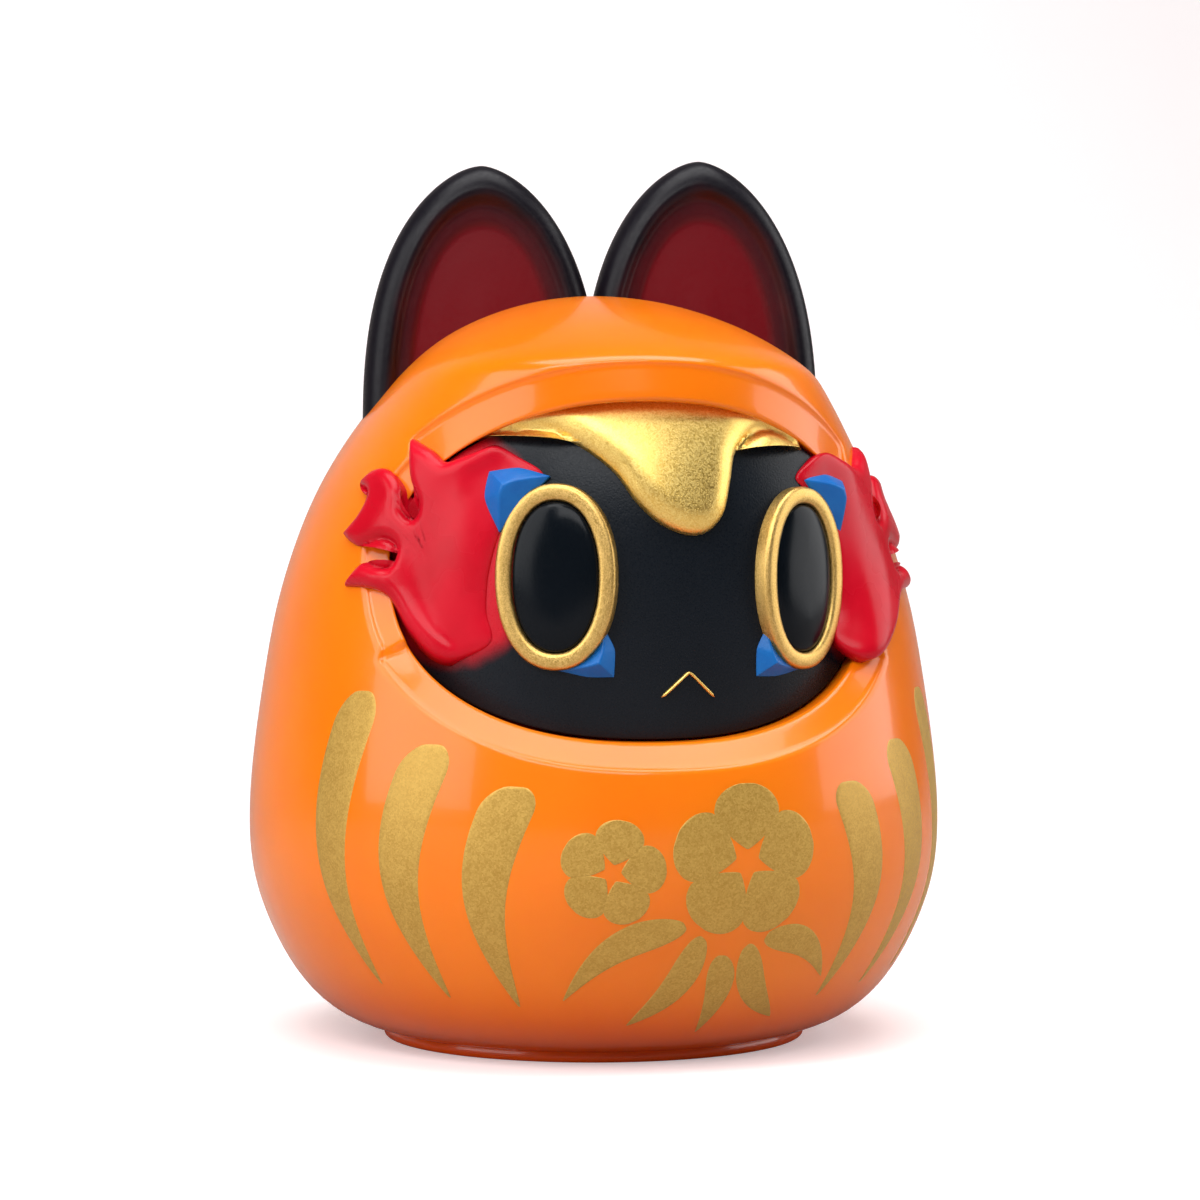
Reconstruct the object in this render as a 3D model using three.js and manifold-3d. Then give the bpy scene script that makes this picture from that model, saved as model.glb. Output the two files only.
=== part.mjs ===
import * as THREE from 'three';
import { mergeVertices } from 'three/addons/utils/BufferGeometryUtils.js';
import Module from 'manifold-3d';

// Daruma doll with a hood, a recessed face and two upright ears. Millimetres, +Z up, front towards -Y.
// The origin is the centre of the flat foot. The face looks along -Y, and the hood with its opening and
// its ears is turned a few degrees about the upright axis against the face.

// Body
const BODY_HEIGHT = 76;
const BODY_RADIUS = 35.7;
const FOOT_RADIUS = 21.8;
const FOOT_HEIGHT = 1.2;
const WALL = 2.2;
const SEAT_HOLE_RADIUS = 17;
const CLEARANCE = 0.3;
const FAR = 60;

// Face opening: a rounded oval on the front, half width, half height and the roundness of its corners
const OPENING_HALF_WIDTH = 25;
const OPENING_HALF_HEIGHT = 16;
const OPENING_CENTRE = 47.5;
const OPENING_ROUNDNESS = 2.4;
const OPENING_FLARE = 1.16;
const COLLAR_WALL = 1.6;
const COLLAR_BACK = -9;
const FLARE_BACK = -27;
const FLARE_FRONT = -42;

// Hood: the front of the crown is drawn forward into a brim over the face
const BRIM_PUSH = 10;
const BRIM_OVER_OPENING = 2.5;
const BRIM_SPREAD = 7.5;
const BRIM_FALL = 1.6;
const CROWN_FADE = 8;
const HOOD_TURN = -6;

// Face plate: part of an egg, pressed into the opening from the front
const FACE_CENTRE_Y = -3.8;
const FACE_HALF_WIDTH = 28;
const FACE_DEPTH = 27.5;
const FACE_RISE = 34;
const FACE_FALL = 60;
const FACE_WALL = 2;

// Eyes, measured on the front view
const EYE_CENTRE_X = 12.2;
const EYE_CENTRE_Z = 47;
const EYE_HALF_WIDTH = 5.2;
const EYE_HALF_HEIGHT = 8.8;
const EYE_RING_BAND = 1.5;
const EYE_RING_HEIGHT = 1.2;
const EYE_DOME_HEIGHT = 1.0;
const ACCENT_HEIGHT = 1.2;

// Flames at the temples, laid over the side of the opening
const FLAME_CENTRE_ALONG = 25.5;
const FLAME_CENTRE_Z = 49;
const FLAME_HEIGHT = 1.3;
const FLAME_MARGIN = 1.2;
const FLAME_SLOPE = 3;

// Forehead drip and mouth
const DRIP_CENTRE_X = -1;
const DRIP_CENTRE_Z = 58.8;
const DRIP_HEIGHT = 1.4;
const MOUTH_Z = 38;
const MOUTH_HALF_WIDTH = 2.6;
const MOUTH_DROP = 2.3;
const MOUTH_LINE = 0.4;
const MOUTH_HEIGHT = 0.4;
const RELIEF_SEAT = 0.35;

// Ears
const EAR_CENTRE_X = 11.6;
const EAR_RISE = 14.3;
const EAR_SHOULDER_DROP = 20;
const EAR_SKIRT = 14;
const EAR_HALF_WIDTH = 12;
const EAR_THICKNESS = 5.5;
const EAR_CENTRE_Y = -1.5;
const EAR_RIM = 3.2;
const EAR_RECESS = 1.4;
const EAR_PLUG_HALF_WIDTH = 4.4;
const EAR_PLUG_HALF_DEPTH = 1.7;
const EAR_EDGE = 1.6;
const EAR_RECESS_EDGE = 0.8;
const EAR_FLANGE = 1.2;
const EAR_FLANGE_GAP = 1.7;
const EAR_PLUG_IN_EAR = 1.5;

// Ballast inside the foot
const BALLAST_RADIUS = 13;
const BALLAST_HEIGHT = 5;
const BALLAST_CHAMFER = 1;
const PLUG_RISE = 1;
const FOOT_CHAMFER = 0.3;

const wasm = await Module();
wasm.setup();

const materials = {
  orange: { color: 0xf5801e, roughness: 0.22, metalness: 0 },
  black: { color: 0x14181f, roughness: 0.42, metalness: 0 },
  earBlack: { color: 0x1c1418, roughness: 0.45, metalness: 0 },
  red: { color: 0xc4122a, roughness: 0.3, metalness: 0 },
  gold: { color: 0xcf9f45, roughness: 0.35, metalness: 0.9 },
  blue: { color: 0x125a9e, roughness: 0.4, metalness: 0 },
  steel: { color: 0x8a8d90, roughness: 0.5, metalness: 1 },
};

const doll = new THREE.Group();

function addPiece(name, geometry, material) {
  const piece = new THREE.Mesh(geometry, new THREE.MeshStandardMaterial(materials[material]));
  piece.name = name;
  doll.add(piece);
}

function toSolid(geometry) {
  const bare = geometry.clone();
  bare.deleteAttribute('normal');
  bare.deleteAttribute('uv');
  const merged = mergeVertices(bare, 1e-4);
  return new wasm.Manifold(new wasm.Mesh({
    numProp: 3,
    vertProperties: Float32Array.from(merged.attributes.position.array),
    triVerts: Uint32Array.from(merged.index.array),
  }));
}

function toGeometry(solid) {
  const mesh = solid.getMesh();
  const geometry = new THREE.BufferGeometry();
  geometry.setAttribute('position', new THREE.BufferAttribute(mesh.vertProperties, 3));
  geometry.setIndex(new THREE.BufferAttribute(mesh.triVerts, 1));
  return geometry;
}

// Moves every vertex of a closed geometry through a rule, keeping its faces
function reshape(geometry, rule) {
  const position = geometry.attributes.position;
  const point = new THREE.Vector3();
  for (let i = 0; i < position.count; i += 1) {
    point.fromBufferAttribute(position, i);
    rule(point);
    position.setXYZ(i, point.x, point.y, point.z);
  }
  return geometry;
}

// The body's outline from the foot's edge to the crown, as shares of its radius and height
const OUTLINE = [
  [0.63, 0], [0.775, 0.034], [0.905, 0.112], [0.98, 0.205], [1, 0.295], [0.985, 0.41],
  [0.938, 0.555], [0.83, 0.715], [0.66, 0.85], [0.36, 0.965], [0, 1],
];
const bodyCurve = new THREE.SplineCurve(OUTLINE.map(([radius, height]) => new THREE.Vector2(
  radius * BODY_RADIUS,
  FOOT_HEIGHT + height * (BODY_HEIGHT - FOOT_HEIGHT),
)));

function bodyRadiusAt(z) {
  let low = 0;
  let high = 1;
  for (let step = 0; step < 24; step += 1) {
    const middle = (low + high) / 2;
    if (bodyCurve.getPoint(middle).y < z) low = middle;
    else high = middle;
  }
  return Math.max(bodyCurve.getPoint(low).x, 0);
}

const BRIM_HEIGHT = OPENING_CENTRE + OPENING_HALF_HEIGHT + BRIM_OVER_OPENING;

// How far the hood is drawn forward at a height, at an angle from the hood's own front
function hoodPush(z, angle) {
  const facing = Math.max(Math.cos(angle), 0);
  return BRIM_PUSH * Math.exp(-(((z - BRIM_HEIGHT) / BRIM_SPREAD) ** 2)) * facing ** BRIM_FALL;
}

// A solid turned from the body's outline, moved outwards by grow (inwards when it is negative)
function bodySolid(grow, rings, segments) {
  const points = [];
  for (let i = 0; i < rings; i += 1) {
    const share = i / rings;
    const point = bodyCurve.getPoint(share);
    const along = bodyCurve.getTangent(share);
    points.push(new THREE.Vector2(point.x + along.y * grow, point.y - along.x * grow));
  }
  const floor = FOOT_HEIGHT - Math.min(grow, 0);
  const side = points.filter((point) => point.y > floor + 0.2);
  side.unshift(new THREE.Vector2(0, floor), new THREE.Vector2(side[0].x - 0.2, floor));
  side.push(new THREE.Vector2(0, BODY_HEIGHT + grow));
  const turned = new THREE.LatheGeometry(side, segments).rotateX(Math.PI / 2);
  return toSolid(reshape(turned, (point) => {
    const radius = Math.hypot(point.x, point.y);
    const angle = Math.atan2(point.x, -point.y);
    const reach = hoodPush(point.z - Math.max(grow, 0), angle) * Math.min(radius / CROWN_FADE, 1);
    point.x += reach * Math.sin(angle);
    point.y -= reach * Math.cos(angle);
  }));
}

// Turns a solid from the hood's own frame into the doll's
function withHood(solid) {
  return solid.rotate([0, 0, HOOD_TURN]);
}

// A rounded oval bar along Y, from front to back; the front can be wider than the back
function ovalBar(halfWidth, halfHeight, front, back, flare, segments) {
  const bar = new THREE.CylinderGeometry(1, flare, back - front, segments, 1);
  reshape(bar, (point) => {
    const angle = Math.atan2(point.z, point.x);
    const reach = Math.hypot(point.x, point.z);
    const round = 2 / OPENING_ROUNDNESS;
    const across = Math.sign(Math.cos(angle)) * Math.abs(Math.cos(angle)) ** round;
    const up = Math.sign(Math.sin(angle)) * Math.abs(Math.sin(angle)) ** round;
    point.set(
      reach * across * halfWidth,
      point.y + (front + back) / 2,
      reach * up * halfHeight + OPENING_CENTRE,
    );
  });
  return toSolid(bar);
}

// Distance of the face plate's front from the plane Y = 0, at a place on the front view
function faceFront(x, z) {
  const across = x / FACE_HALF_WIDTH;
  const up = (z - OPENING_CENTRE) / (z > OPENING_CENTRE ? FACE_RISE : FACE_FALL);
  return -FACE_CENTRE_Y + FACE_DEPTH * Math.sqrt(Math.max(1 - across ** 2 - up ** 2, 0));
}

// The space inside the opening, smaller by gap on every side
function insideOpening(gap, back) {
  return withHood(ovalBar(OPENING_HALF_WIDTH - gap, OPENING_HALF_HEIGHT - gap, -FAR, back, 1, 48));
}

function facePlate() {
  const egg = (inset) => {
    const geometry = new THREE.SphereGeometry(1, 40, 26).rotateX(Math.PI / 2);
    return toSolid(reshape(geometry, (point) => {
      const height = point.z > 0 ? FACE_RISE : FACE_FALL;
      point.x *= FACE_HALF_WIDTH - inset;
      point.y = point.y * (FACE_DEPTH - inset) + FACE_CENTRE_Y;
      point.z = point.z * (height - inset) + OPENING_CENTRE;
    }));
  };
  return insideOpening(CLEARANCE, COLLAR_BACK).intersect(egg(0)).subtract(egg(FACE_WALL));
}

// Where an ear's plug passes through the hood
const earSeat = new THREE.Vector3(EAR_CENTRE_X, EAR_CENTRE_Y + EAR_RECESS / 2, 0);
earSeat.z = (() => {
  let z = BODY_HEIGHT;
  while (bodyRadiusAt(z) < Math.hypot(earSeat.x, earSeat.y)) z -= 0.02;
  return z;
})();
const earLean = Math.atan2(2, bodyRadiusAt(earSeat.z - 1) - bodyRadiusAt(earSeat.z + 1));

// An oval bar through the hood at the right ear's seat; from and to are heights over the hood
function seatBar(grow, from, to) {
  const bar = new THREE.CylinderGeometry(1, 1, to - from, 24);
  bar.rotateX(Math.PI / 2);
  bar.scale(EAR_PLUG_HALF_WIDTH + grow, EAR_PLUG_HALF_DEPTH + grow, 1);
  bar.translate(0, 0, (from + to) / 2);
  bar.rotateY(earLean);
  bar.translate(earSeat.x, earSeat.y, earSeat.z);
  return toSolid(bar);
}

function mirrored(solid) {
  return solid.mirror([1, 0, 0]);
}

function bodyShell() {
  const outer = bodySolid(0, 24, 56);
  const hollow = bodySolid(-WALL, 14, 36);
  const collar = ovalBar(
    OPENING_HALF_WIDTH + COLLAR_WALL, OPENING_HALF_HEIGHT + COLLAR_WALL, -FAR, COLLAR_BACK, 1, 48,
  ).intersect(bodySolid(-WALL / 2, 14, 36));
  const opening = ovalBar(OPENING_HALF_WIDTH, OPENING_HALF_HEIGHT, -FAR, COLLAR_BACK + 4, 1, 48);
  const flared = ovalBar(
    OPENING_HALF_WIDTH, OPENING_HALF_HEIGHT, FLARE_FRONT, FLARE_BACK, OPENING_FLARE, 48,
  );
  const seat = new THREE.CylinderGeometry(SEAT_HOLE_RADIUS, SEAT_HOLE_RADIUS, 4 * WALL, 44);
  seat.rotateX(Math.PI / 2);
  seat.translate(0, 0, FOOT_HEIGHT);
  const plugHole = seatBar(CLEARANCE, -2 * WALL, 2 * WALL);
  return outer.subtract(hollow).add(collar).subtract(opening).subtract(flared)
    .subtract(toSolid(seat)).subtract(plugHole).subtract(mirrored(plugHole));
}

// An ear's outline on the front view, about its own centre line; grow widens it on every side
function earOutline(grow) {
  const width = EAR_HALF_WIDTH + grow;
  const top = BODY_HEIGHT + EAR_RISE + grow;
  const shoulder = BODY_HEIGHT + EAR_RISE - EAR_SHOULDER_DROP;
  const outline = new THREE.Shape();
  outline.moveTo(-width, shoulder - EAR_SKIRT);
  outline.lineTo(width, shoulder - EAR_SKIRT);
  outline.lineTo(width, shoulder);
  outline.bezierCurveTo(width, shoulder + 11, width * 0.55, top, 0, top);
  outline.bezierCurveTo(-width * 0.55, top, -width, shoulder + 11, -width, shoulder);
  outline.closePath();
  return outline;
}

function earPlate(grow, thickness, bevel, front) {
  const plate = new THREE.ExtrudeGeometry(earOutline(grow - bevel), {
    depth: thickness - 2 * bevel,
    curveSegments: 12,
    bevelThickness: bevel,
    bevelSize: bevel,
    bevelSegments: 2,
  });
  plate.rotateX(Math.PI / 2);
  plate.translate(EAR_CENTRE_X, front + thickness - bevel, 0);
  return toSolid(plate);
}

function earRight() {
  const front = EAR_CENTRE_Y - EAR_THICKNESS / 2;
  const plate = earPlate(0, EAR_THICKNESS, EAR_EDGE, front);
  const recess = earPlate(-EAR_RIM, EAR_THICKNESS, EAR_RECESS_EDGE, front + EAR_RECESS - EAR_THICKNESS);
  const saddle = bodySolid(CLEARANCE, 24, 56);
  const plugEnd = -WALL - 2 * EAR_FLANGE_GAP;
  const plug = seatBar(0, plugEnd, EAR_PLUG_IN_EAR);
  const flange = seatBar(EAR_FLANGE, plugEnd, plugEnd + EAR_FLANGE_GAP);
  return plate.subtract(recess).subtract(saddle).add(plug).add(flange);
}

// A raised patch on the face: a closed pillow whose outline is reach(angle) about a centre point
function facePillow(centreX, centreZ, reach, height, segments, rings) {
  const pillow = new THREE.SphereGeometry(1, segments, rings);
  return reshape(pillow, (point) => {
    const share = Math.hypot(point.x, point.z);
    const angle = Math.atan2(point.z, point.x);
    const rise = point.y < 0 ? -point.y * height : 0;
    const x = centreX + share * reach(angle) * Math.cos(angle);
    const z = centreZ + share * reach(angle) * Math.sin(angle);
    point.set(x, -(faceFront(x, z) + RELIEF_SEAT + rise), z);
  });
}

function ellipseReach(halfWidth, halfHeight) {
  return (angle) => 1 / Math.hypot(Math.cos(angle) / halfWidth, Math.sin(angle) / halfHeight);
}

// A flat-topped band round the eye
function eyeRing(side) {
  const outline = new THREE.Shape();
  const outerWidth = EYE_HALF_WIDTH;
  outline.absellipse(0, 0, outerWidth, EYE_HALF_HEIGHT, 0, 2 * Math.PI);
  const hole = new THREE.Path();
  hole.absellipse(0, 0, outerWidth - EYE_RING_BAND, EYE_HALF_HEIGHT - EYE_RING_BAND, 0, 2 * Math.PI, true);
  outline.holes.push(hole);
  const ring = new THREE.ExtrudeGeometry(outline, {
    depth: EYE_RING_HEIGHT, bevelEnabled: false, curveSegments: 18,
  });
  ring.rotateX(Math.PI / 2);
  return reshape(ring, (point) => {
    const x = side * EYE_CENTRE_X + point.x;
    const z = EYE_CENTRE_Z + point.z;
    point.set(x, -(faceFront(x, z) + CLEARANCE) + point.y, z);
  });
}

// The reach of a smooth closed outline at each angle about a centre point inside it
function outlineReach(centreX, centreZ, corners, tension) {
  const points = corners.map(([x, z]) => new THREE.Vector3(x - centreX, 0, z - centreZ));
  const curve = new THREE.CatmullRomCurve3(points, true, 'catmullrom', tension);
  const rim = curve.getPoints(corners.length * 8);
  return (angle) => {
    const aimX = Math.cos(angle);
    const aimZ = Math.sin(angle);
    let reach = 0;
    for (let i = 1; i < rim.length; i += 1) {
      const from = rim[i - 1].x * aimZ - rim[i - 1].z * aimX;
      const to = rim[i].x * aimZ - rim[i].z * aimX;
      if (from * to <= 0 && from !== to) {
        const hit = new THREE.Vector3().lerpVectors(rim[i - 1], rim[i], from / (from - to));
        reach = Math.max(reach, hit.x * aimX + hit.z * aimZ);
      }
    }
    return reach;
  };
}

// Corners of the right eye's accents on the front view
const ACCENTS = {
  upper: [[17.9, 57], [13, 56.6], [14.6, 53.4], [17.5, 51.4]],
  lower: [[8, 42.4], [7.2, 37.5], [11.6, 38.2], [9.4, 40.2]],
};

// The drip: a band under the brim, with one drop hanging from its middle
const DRIP = [
  [-15.5, 60.2], [-8, 62.4], [0, 62.8], [6.5, 62.3], [11.2, 60.9], [7.4, 60.2], [5.2, 56.2],
  [3.6, 52.3], [0.8, 51], [-2.6, 52.2], [-6.2, 56.4], [-10, 59.2],
];

// The right flame as (length along the body from the front, height): a lobe and three tongues
const FLAME = [
  [20, 39.2], [24.4, 40.8], [28.8, 44.8], [35.4, 46.4], [29.6, 49], [37.4, 51.6], [33.6, 54],
  [35, 57.2], [30, 55.4], [29.4, 60.3], [25.6, 57], [20.4, 59], [16.4, 58.4], [14.6, 55.4],
  [15, 47], [17, 41.4],
];

// The space that an eye ring takes, as a bar along Y with room round it
function eyeSpace(grow) {
  const bar = new THREE.CylinderGeometry(1, 1, FAR, 36);
  bar.scale(EYE_HALF_WIDTH + grow, 1, EYE_HALF_HEIGHT + grow);
  bar.translate(EYE_CENTRE_X, -FAR / 2, EYE_CENTRE_Z);
  return toSolid(bar);
}

function accentPlan(place) {
  const corners = ACCENTS[place];
  const x = corners.reduce((sum, corner) => sum + corner[0], 0) / corners.length;
  const z = corners.reduce((sum, corner) => sum + corner[1], 0) / corners.length;
  return { x, z, reach: outlineReach(x, z, corners, 0.25) };
}

function accentRight(place) {
  const { x, z, reach } = accentPlan(place);
  return toSolid(facePillow(x, z, reach, ACCENT_HEIGHT, 20, 8)).subtract(eyeSpace(CLEARANCE))
    .intersect(insideOpening(2 * CLEARANCE, COLLAR_BACK));
}

// The space that an accent takes, as a bar along Y with room round it
function accentSpace(place, grow) {
  const { x, z, reach } = accentPlan(place);
  const bar = reshape(new THREE.CylinderGeometry(1, 1, FAR, 24), (point) => {
    const angle = Math.atan2(point.z, point.x);
    const share = Math.hypot(point.x, point.z) * (reach(angle) + grow);
    point.set(x + share * Math.cos(angle), point.y - FAR / 2, z + share * Math.sin(angle));
  });
  return toSolid(bar);
}

// How far inside the opening a place on the hood's own front view is; zero at the edge
function openingDepth(x, z) {
  const across = Math.abs(x / OPENING_HALF_WIDTH) ** OPENING_ROUNDNESS;
  const up = Math.abs((z - OPENING_CENTRE) / OPENING_HALF_HEIGHT) ** OPENING_ROUNDNESS;
  return (1 - (across + up) ** (1 / OPENING_ROUNDNESS)) * OPENING_HALF_HEIGHT;
}

// A flame lies on the hood's side, and dips over the edge of the opening down to the face. It is made for
// the right side; turn is the angle of the hood's front there.
function flameRight(turn) {
  const reach = outlineReach(FLAME_CENTRE_ALONG, FLAME_CENTRE_Z, FLAME, 0.4);
  const wrap = bodyRadiusAt(FLAME_CENTRE_Z);
  const flame = reshape(new THREE.SphereGeometry(1, 56, 12), (point) => {
    const share = Math.hypot(point.x, point.z);
    const around = Math.atan2(point.z, point.x);
    const rise = point.y < 0 ? -point.y * FLAME_HEIGHT : 0;
    const z = FLAME_CENTRE_Z + share * reach(around) * Math.sin(around);
    const along = FLAME_CENTRE_ALONG + share * reach(around) * Math.cos(around);
    const angle = along / wrap;
    const radius = bodyRadiusAt(z) + hoodPush(z, angle - turn) + 2 * CLEARANCE;
    const x = radius * Math.sin(angle);
    const inward = openingDepth(radius * Math.sin(angle - turn), z) - FLAME_MARGIN;
    const dip = Math.min(Math.max(inward / FLAME_SLOPE, 0), 1);
    const overHood = radius * Math.cos(angle);
    const overFace = inward > -2 * FLAME_MARGIN ? faceFront(x, z) + 2 * CLEARANCE : 0;
    const front = Math.max(overHood + dip * (overFace - overHood), overFace);
    point.set(x + rise * Math.sin(angle), -front - rise * Math.cos(angle), z);
  });
  return toSolid(flame).subtract(eyeSpace(CLEARANCE))
    .subtract(accentSpace('upper', CLEARANCE));
}

function mouthInlay() {
  const line = new THREE.Shape([
    new THREE.Vector2(-MOUTH_HALF_WIDTH, -MOUTH_DROP),
    new THREE.Vector2(-MOUTH_HALF_WIDTH + MOUTH_LINE, -MOUTH_DROP - MOUTH_LINE),
    new THREE.Vector2(0, -MOUTH_LINE * 1.2),
    new THREE.Vector2(MOUTH_HALF_WIDTH - MOUTH_LINE, -MOUTH_DROP - MOUTH_LINE),
    new THREE.Vector2(MOUTH_HALF_WIDTH, -MOUTH_DROP),
    new THREE.Vector2(0, 0),
  ]);
  const inlay = new THREE.ExtrudeGeometry(line, { depth: MOUTH_HEIGHT, bevelEnabled: false });
  inlay.rotateX(Math.PI / 2);
  return reshape(inlay, (point) => {
    const z = MOUTH_Z + point.z;
    point.set(point.x, -(faceFront(point.x, z) + CLEARANCE) + point.y, z);
  });
}

function basePlug() {
  const spigot = SEAT_HOLE_RADIUS - CLEARANCE;
  const top = FOOT_HEIGHT + WALL + PLUG_RISE;
  const profile = [
    [0, 0], [FOOT_RADIUS - FOOT_CHAMFER, 0], [FOOT_RADIUS, FOOT_CHAMFER],
    [FOOT_RADIUS, FOOT_HEIGHT - CLEARANCE / 2],
    [spigot, FOOT_HEIGHT - CLEARANCE / 2], [spigot, top], [0, top],
  ].map(([radius, height]) => new THREE.Vector2(radius, height));
  return new THREE.LatheGeometry(profile, 64).rotateX(Math.PI / 2);
}

function ballast() {
  const floor = FOOT_HEIGHT + WALL + PLUG_RISE + CLEARANCE / 2;
  const top = floor + BALLAST_HEIGHT;
  const profile = [
    [0, floor], [BALLAST_RADIUS, floor], [BALLAST_RADIUS, top - BALLAST_CHAMFER],
    [BALLAST_RADIUS - BALLAST_CHAMFER, top], [0, top],
  ].map(([radius, height]) => new THREE.Vector2(radius, height));
  return new THREE.LatheGeometry(profile, 40).rotateX(Math.PI / 2);
}

addPiece('body_shell', toGeometry(withHood(bodyShell())), 'orange');
addPiece('face_plate', toGeometry(facePlate()), 'black');
addPiece('base_plug', basePlug(), 'orange');
addPiece('ballast_weight', ballast(), 'steel');

const ear = earRight();
addPiece('ear_right', toGeometry(withHood(ear)), 'earBlack');
addPiece('ear_left', toGeometry(withHood(mirrored(ear))), 'earBlack');

const hoodAngle = THREE.MathUtils.degToRad(HOOD_TURN);
addPiece('flame_right', toGeometry(flameRight(hoodAngle)), 'red');
addPiece('flame_left', toGeometry(mirrored(flameRight(-hoodAngle))), 'red');

for (const place of ['upper', 'lower']) {
  const accent = accentRight(place);
  addPiece(`eye_accent_${place}_right`, toGeometry(accent), 'blue');
  addPiece(`eye_accent_${place}_left`, toGeometry(mirrored(accent)), 'blue');
}

const domeReach = ellipseReach(
  EYE_HALF_WIDTH - EYE_RING_BAND - CLEARANCE,
  EYE_HALF_HEIGHT - EYE_RING_BAND - CLEARANCE,
);
for (const [side, sign] of [['left', -1], ['right', 1]]) {
  const dome = facePillow(sign * EYE_CENTRE_X, EYE_CENTRE_Z, domeReach, EYE_DOME_HEIGHT, 24, 8);
  addPiece(`eye_ring_${side}`, toGeometry(toSolid(eyeRing(sign))), 'gold');
  addPiece(`eye_dome_${side}`, dome, 'black');
}

const dripReach = outlineReach(DRIP_CENTRE_X, DRIP_CENTRE_Z, DRIP, 0.5);
const drip = toSolid(facePillow(DRIP_CENTRE_X, DRIP_CENTRE_Z, dripReach, DRIP_HEIGHT, 48, 10))
  .intersect(insideOpening(2 * CLEARANCE, COLLAR_BACK));
addPiece('forehead_drip', toGeometry(drip), 'gold');
addPiece('mouth_inlay', toGeometry(toSolid(mouthInlay())), 'gold');

export default doll;
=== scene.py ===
import math
import bpy
import numpy as np
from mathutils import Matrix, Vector


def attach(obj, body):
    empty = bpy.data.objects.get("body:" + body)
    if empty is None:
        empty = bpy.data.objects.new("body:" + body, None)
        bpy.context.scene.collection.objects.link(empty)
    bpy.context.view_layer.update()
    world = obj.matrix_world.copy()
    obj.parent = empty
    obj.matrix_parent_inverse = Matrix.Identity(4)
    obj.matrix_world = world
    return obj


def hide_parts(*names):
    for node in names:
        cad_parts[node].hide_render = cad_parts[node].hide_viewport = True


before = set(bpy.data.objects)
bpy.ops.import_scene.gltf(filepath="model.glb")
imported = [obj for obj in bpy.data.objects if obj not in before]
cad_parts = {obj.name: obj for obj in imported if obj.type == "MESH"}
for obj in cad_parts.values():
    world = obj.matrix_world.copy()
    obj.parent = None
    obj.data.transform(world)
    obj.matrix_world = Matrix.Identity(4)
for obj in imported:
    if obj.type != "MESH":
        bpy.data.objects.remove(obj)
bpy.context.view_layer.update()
MM = 0.001


# --------------------------------------------------
# Body shell. One hollow casting of orange soft vinyl, spun in a heated mould: the belly, the hood
# with its brim, the lip under the face and the collar that holds the face plate are one skin.
# --------------------------------------------------

FOOT_TOP = 1.2
SKIN_FLOOR = 0.5
WALL = 2.2
BODY_OUTLINE = [  # height, radius
    (0.5, 19.5), (1.2, 22.4), (3.7, 27.7), (6.8, 30.7), (9.9, 32.6), (13, 34), (16.5, 35.1),
    (22.5, 35.7), (31, 35.1), (38, 34.1), (44, 33), (50, 31.3), (56, 28.9), (62, 25.4),
    (68, 20.6), (72, 16.0), (76.6, 0),
]
HOOD_PUSH = [  # height, how far the hood is drawn forward there
    (46, 0), (52, 1.1), (56, 3), (60, 5.6), (63.5, 8.2), (66, 9.9), (67.4, 10.4), (68.6, 9.7),
    (70, 8.2), (72, 5.8), (74, 3.2), (76.6, 0),
]
HOOD_FALL = 2.0
HOOD_TURN = math.radians(-6.5)
OPENING_HALF_WIDTH = 23.6
OPENING_HALF_HEIGHT = 16
OPENING_CENTRE = 47.5
OPENING_ROUNDNESS_BELOW = 2.4
OPENING_ROUNDNESS_ABOVE = 2.2
COLLAR_BACK = -9
COLLAR_WALL = 1.6
INSIDE_START = -18  # where the sweep round the hollow starts from
COLUMNS = 288
LIP_ENDS = (40.4, 41.2)  # heights between which the lip fades out
BRIM_STARTS = (57.0, 58.2)
LIP_WIDTH = (3.4, 2.5)  # at its ends and at its middle
BRIM_WIDTH = (3.3, 3.8)
SIDE_WIDTH = 2.4
LIP_DEPTH = 2.1
BRIM_DEPTH = 0.7
SIDE_DEPTH = 1.3
LIP_DROP = 0.2
SIDE_DROP = 0.3
OUTER_ROUND = 0.45
INNER_ROUND = 0.5
SHELF_ROUND = 0.25
BACK_ROWS = 120
INNER_ROWS = 24
SWEEP_CENTRE = (0, 0, 45)


def through(knots):
    """A smooth curve through the knots: a natural cubic spline of y over x."""
    x, y = np.array(knots, float).T
    step = np.diff(x)
    count = len(x)
    system = np.eye(count)
    bend = np.zeros(count)
    for i in range(1, count - 1):
        system[i, i - 1:i + 2] = step[i - 1], 2 * (step[i - 1] + step[i]), step[i]
        bend[i] = 6 * ((y[i + 1] - y[i]) / step[i] - (y[i] - y[i - 1]) / step[i - 1])
    curl = np.linalg.solve(system, bend)

    def curve(at):
        at = np.clip(at, x[0], x[-1])
        i = np.clip(np.searchsorted(x, at) - 1, 0, count - 2)
        past, left, width = at - x[i], x[i + 1] - at, step[i]
        return (
            (curl[i] * left ** 3 + curl[i + 1] * past ** 3) / (6 * width)
            + (y[i] / width - curl[i] * width / 6) * left
            + (y[i + 1] / width - curl[i + 1] * width / 6) * past
        )
    return curve


turned_area = through([(height, radius ** 2) for height, radius in BODY_OUTLINE])
hood_push = through(HOOD_PUSH)


def skin_radius(z, angle):
    """Distance of the skin from the upright axis, at a height and an angle from the hood's front."""
    turned = np.sqrt(np.maximum(turned_area(z), 0))
    facing = np.maximum(np.cos(angle), 0) ** HOOD_FALL
    push = np.where(z > HOOD_PUSH[0][0], hood_push(z), 0)
    return turned + push * facing * np.minimum(turned / 8, 1)


def outside(points):
    """How far points lie outside the skin; negative inside."""
    x, y, z = points[..., 0], points[..., 1], points[..., 2]
    side = np.hypot(x, y) - skin_radius(z, np.arctan2(x, -y))
    return np.maximum(side, SKIN_FLOOR - z)


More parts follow.
